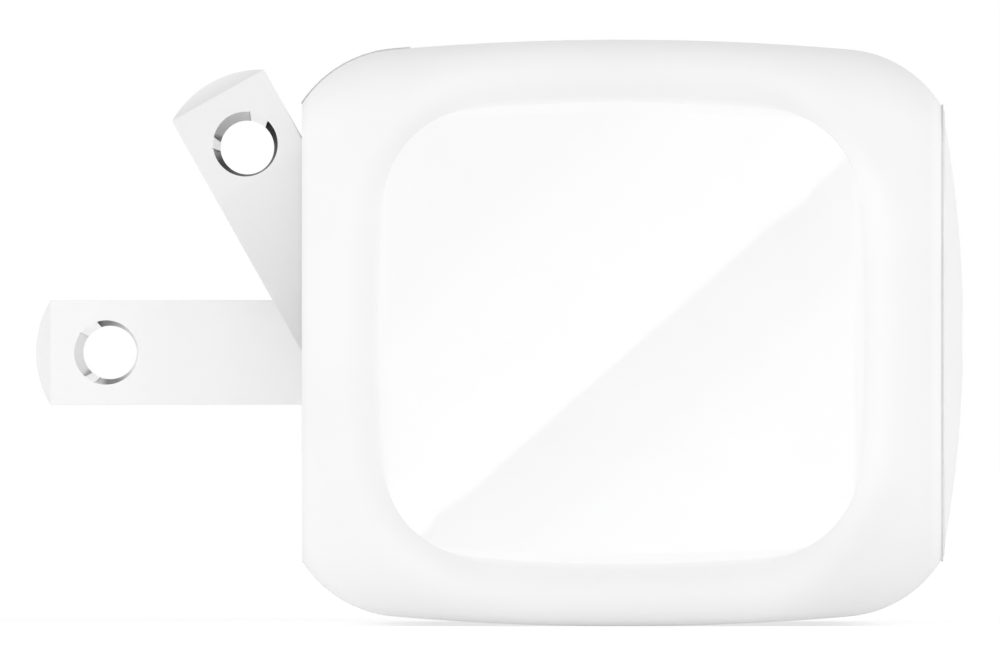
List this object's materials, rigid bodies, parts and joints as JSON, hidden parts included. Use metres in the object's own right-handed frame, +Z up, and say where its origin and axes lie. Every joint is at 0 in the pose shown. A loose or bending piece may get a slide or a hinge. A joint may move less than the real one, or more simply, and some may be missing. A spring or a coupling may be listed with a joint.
{
  "type": "laptop power adapter",
  "caption": "Compact white wall charger: rounded crowned block with glossy sides, folding flat plug blades and a USB-C port in its domed front cover.",
  "frame": {"origin": "centre of the flat back face that lies against the wall outlet, midway between the blades", "axes": "+X from the wall to the port, +Z up with the blades folding towards it, +Y across the blades"},
  "size_m": [0.0561, 0.038, 0.0352],
  "materials": {
    "matt_white": "fine matt moulded texture",
    "gloss_white": "polished gloss",
    "nickel": "satin nickel plating over brass",
    "hub_plastic": "moulded matt",
    "inner_plastic": "moulded matt",
    "screw_steel": "zinc plated",
    "spring_bronze": "rolled bronze",
    "board_laminate": "satin solder mask",
    "port_steel": "satin",
    "port_plastic": "moulded matt",
    "contact_gold": "polished gold plating",
    "chip_resin": "matte resin",
    "fuse_ceramic": "satin",
    "film_capacitor_case": "gloss",
    "ferrite": "matte",
    "copper_wire": "enamelled gloss",
    "capacitor_can": "satin",
    "blue_ceramic": "gloss",
    "spreader_metal": "satin",
    "pad_rubber": "matte",
    "tray_sheet": "matte"
  },
  "bodies": {
    "charger": {"housing": "matt_white", "front_cover": "matt_white", "near_side_panel": "gloss_white", "far_side_panel": "gloss_white", "hub_bracket": "inner_plastic", "bracket_screws": "screw_steel", "near_contact_spring": "spring_bronze", "far_contact_spring": "spring_bronze", "main_board": "board_laminate", "output_board": "board_laminate", "usb_c_shell": "port_steel", "usb_c_tongue": "port_plastic", "usb_c_contacts": "contact_gold", "port_controller": "chip_resin", "fuse": "fuse_ceramic", "bridge_rectifier": "chip_resin", "filter_capacitor": "film_capacitor_case", "choke_holder": "inner_plastic", "choke_core": "ferrite", "choke_winding": "copper_wire", "rear_bulk_capacitor": "capacitor_can", "front_bulk_capacitor": "capacitor_can", "primary_switch": "chip_resin", "transformer_core": "ferrite", "transformer_bobbin": "port_plastic", "transformer_winding": "copper_wire", "bridging_capacitor": "blue_ceramic", "optocoupler": "chip_resin", "sync_rectifier": "chip_resin", "output_capacitor": "capacitor_can", "heat_spreader": "spreader_metal", "thermal_pad": "pad_rubber", "insulating_tray": "tray_sheet"},
    "near_blade_arm": {"near_blade": "nickel", "near_blade_hub": "hub_plastic"},
    "far_blade_arm": {"far_blade": "nickel", "far_blade_hub": "hub_plastic"}
  },
  "joints": [
    {"name": "near_blade_fold", "type": "hinge", "parent": "charger", "child": "near_blade_arm", "pos_m": [0.003, -0.00635, -0.0022], "axis": [0, 1, 0], "range_deg": [-60.7, 29.3]},
    {"name": "far_blade_fold", "type": "hinge", "parent": "charger", "child": "far_blade_arm", "pos_m": [0.003, 0.00635, -0.0022], "axis": [0, 1, 0], "range_deg": [0, 90]}
  ]
}
